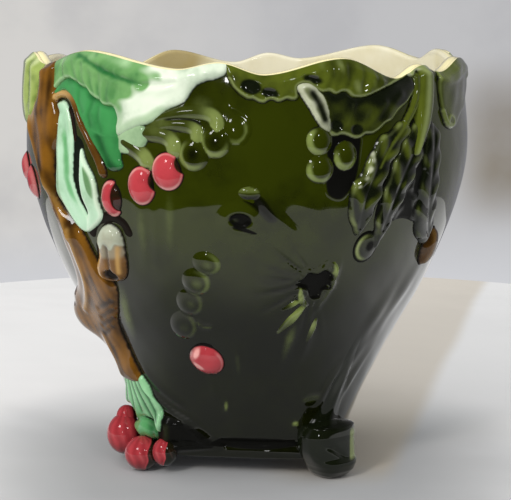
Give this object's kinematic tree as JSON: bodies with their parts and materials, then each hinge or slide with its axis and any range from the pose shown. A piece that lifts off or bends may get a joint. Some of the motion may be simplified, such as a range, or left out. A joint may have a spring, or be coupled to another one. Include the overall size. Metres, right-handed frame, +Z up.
{
  "type": "jardiniere",
  "caption": "Glazed earthenware jardiniere with a scalloped rim, relief branches, leaves and cherries, and four short feet.",
  "frame": {"origin": "on the vertical axis, at the ground the feet stand on", "axes": "+Z up, -Y towards the front of the picture; the back repeats the front, turned half round"},
  "size_m": [0.261, 0.2644, 0.2405],
  "materials": {
    "olive_glaze": "deep olive-green translucent glaze over relief, high gloss; cream glaze inside",
    "leaf_green_glaze": "leaf-green glaze breaking to pale green on raised edges, high gloss",
    "mint_glaze": "pale mint glaze with green streaks, high gloss",
    "dark_leaf_glaze": "dark green glaze, lighter on raised edges, high gloss",
    "brown_glaze": "streaked amber-brown glaze, high gloss",
    "cherry_red_glaze": "cherry-red glaze, paler on raised edges, high gloss"
  },
  "bodies": {
    "root": {"bowl": "olive_glaze", "branch_front": "brown_glaze", "branch_stub_front": "brown_glaze", "crook_front": "leaf_green_glaze", "trunk_front": "dark_leaf_glaze", "wide_leaf_front": "leaf_green_glaze", "wide_leaf_fold_front": "leaf_green_glaze", "red_cherry_1_front": "cherry_red_glaze", "red_cherry_2_front": "cherry_red_glaze", "red_cherry_3_front": "cherry_red_glaze", "red_cherry_low_front": "cherry_red_glaze", "side_cherries_front": "cherry_red_glaze", "narrow_leaf_front": "mint_glaze", "green_cherries_top_front": "olive_glaze", "cherry_stalks_front": "olive_glaze", "dark_leaf_front": "dark_leaf_glaze", "dark_leaf_fold_front": "dark_leaf_glaze", "cherry_cluster_front": "olive_glaze", "green_cherries_low_front": "olive_glaze", "side_leaf_front": "dark_leaf_glaze", "hanging_leaf_front": "dark_leaf_glaze", "hanging_leaves_front": "dark_leaf_glaze", "knob_front": "brown_glaze", "bud_front": "olive_glaze", "blossom_front": "olive_glaze", "foot_stalks_front": "mint_glaze", "foot_cherry_outer_front": "cherry_red_glaze", "foot_cherry_middle_front": "cherry_red_glaze", "foot_cherry_inner_front": "cherry_red_glaze", "leaf_foot_front": "dark_leaf_glaze", "branch_back": "brown_glaze", "branch_stub_back": "brown_glaze", "crook_back": "leaf_green_glaze", "trunk_back": "dark_leaf_glaze", "wide_leaf_back": "leaf_green_glaze", "wide_leaf_fold_back": "leaf_green_glaze", "red_cherry_1_back": "cherry_red_glaze", "red_cherry_2_back": "cherry_red_glaze", "red_cherry_3_back": "cherry_red_glaze", "red_cherry_low_back": "cherry_red_glaze", "side_cherries_back": "cherry_red_glaze", "narrow_leaf_back": "mint_glaze", "green_cherries_top_back": "olive_glaze", "cherry_stalks_back": "olive_glaze", "dark_leaf_back": "dark_leaf_glaze", "dark_leaf_fold_back": "dark_leaf_glaze", "cherry_cluster_back": "olive_glaze", "green_cherries_low_back": "olive_glaze", "side_leaf_back": "dark_leaf_glaze", "hanging_leaf_back": "dark_leaf_glaze", "hanging_leaves_back": "dark_leaf_glaze", "knob_back": "brown_glaze", "bud_back": "olive_glaze", "blossom_back": "olive_glaze", "foot_stalks_back": "mint_glaze", "foot_cherry_outer_back": "cherry_red_glaze", "foot_cherry_middle_back": "cherry_red_glaze", "foot_cherry_inner_back": "cherry_red_glaze", "leaf_foot_back": "dark_leaf_glaze"}
  },
  "joints": []
}
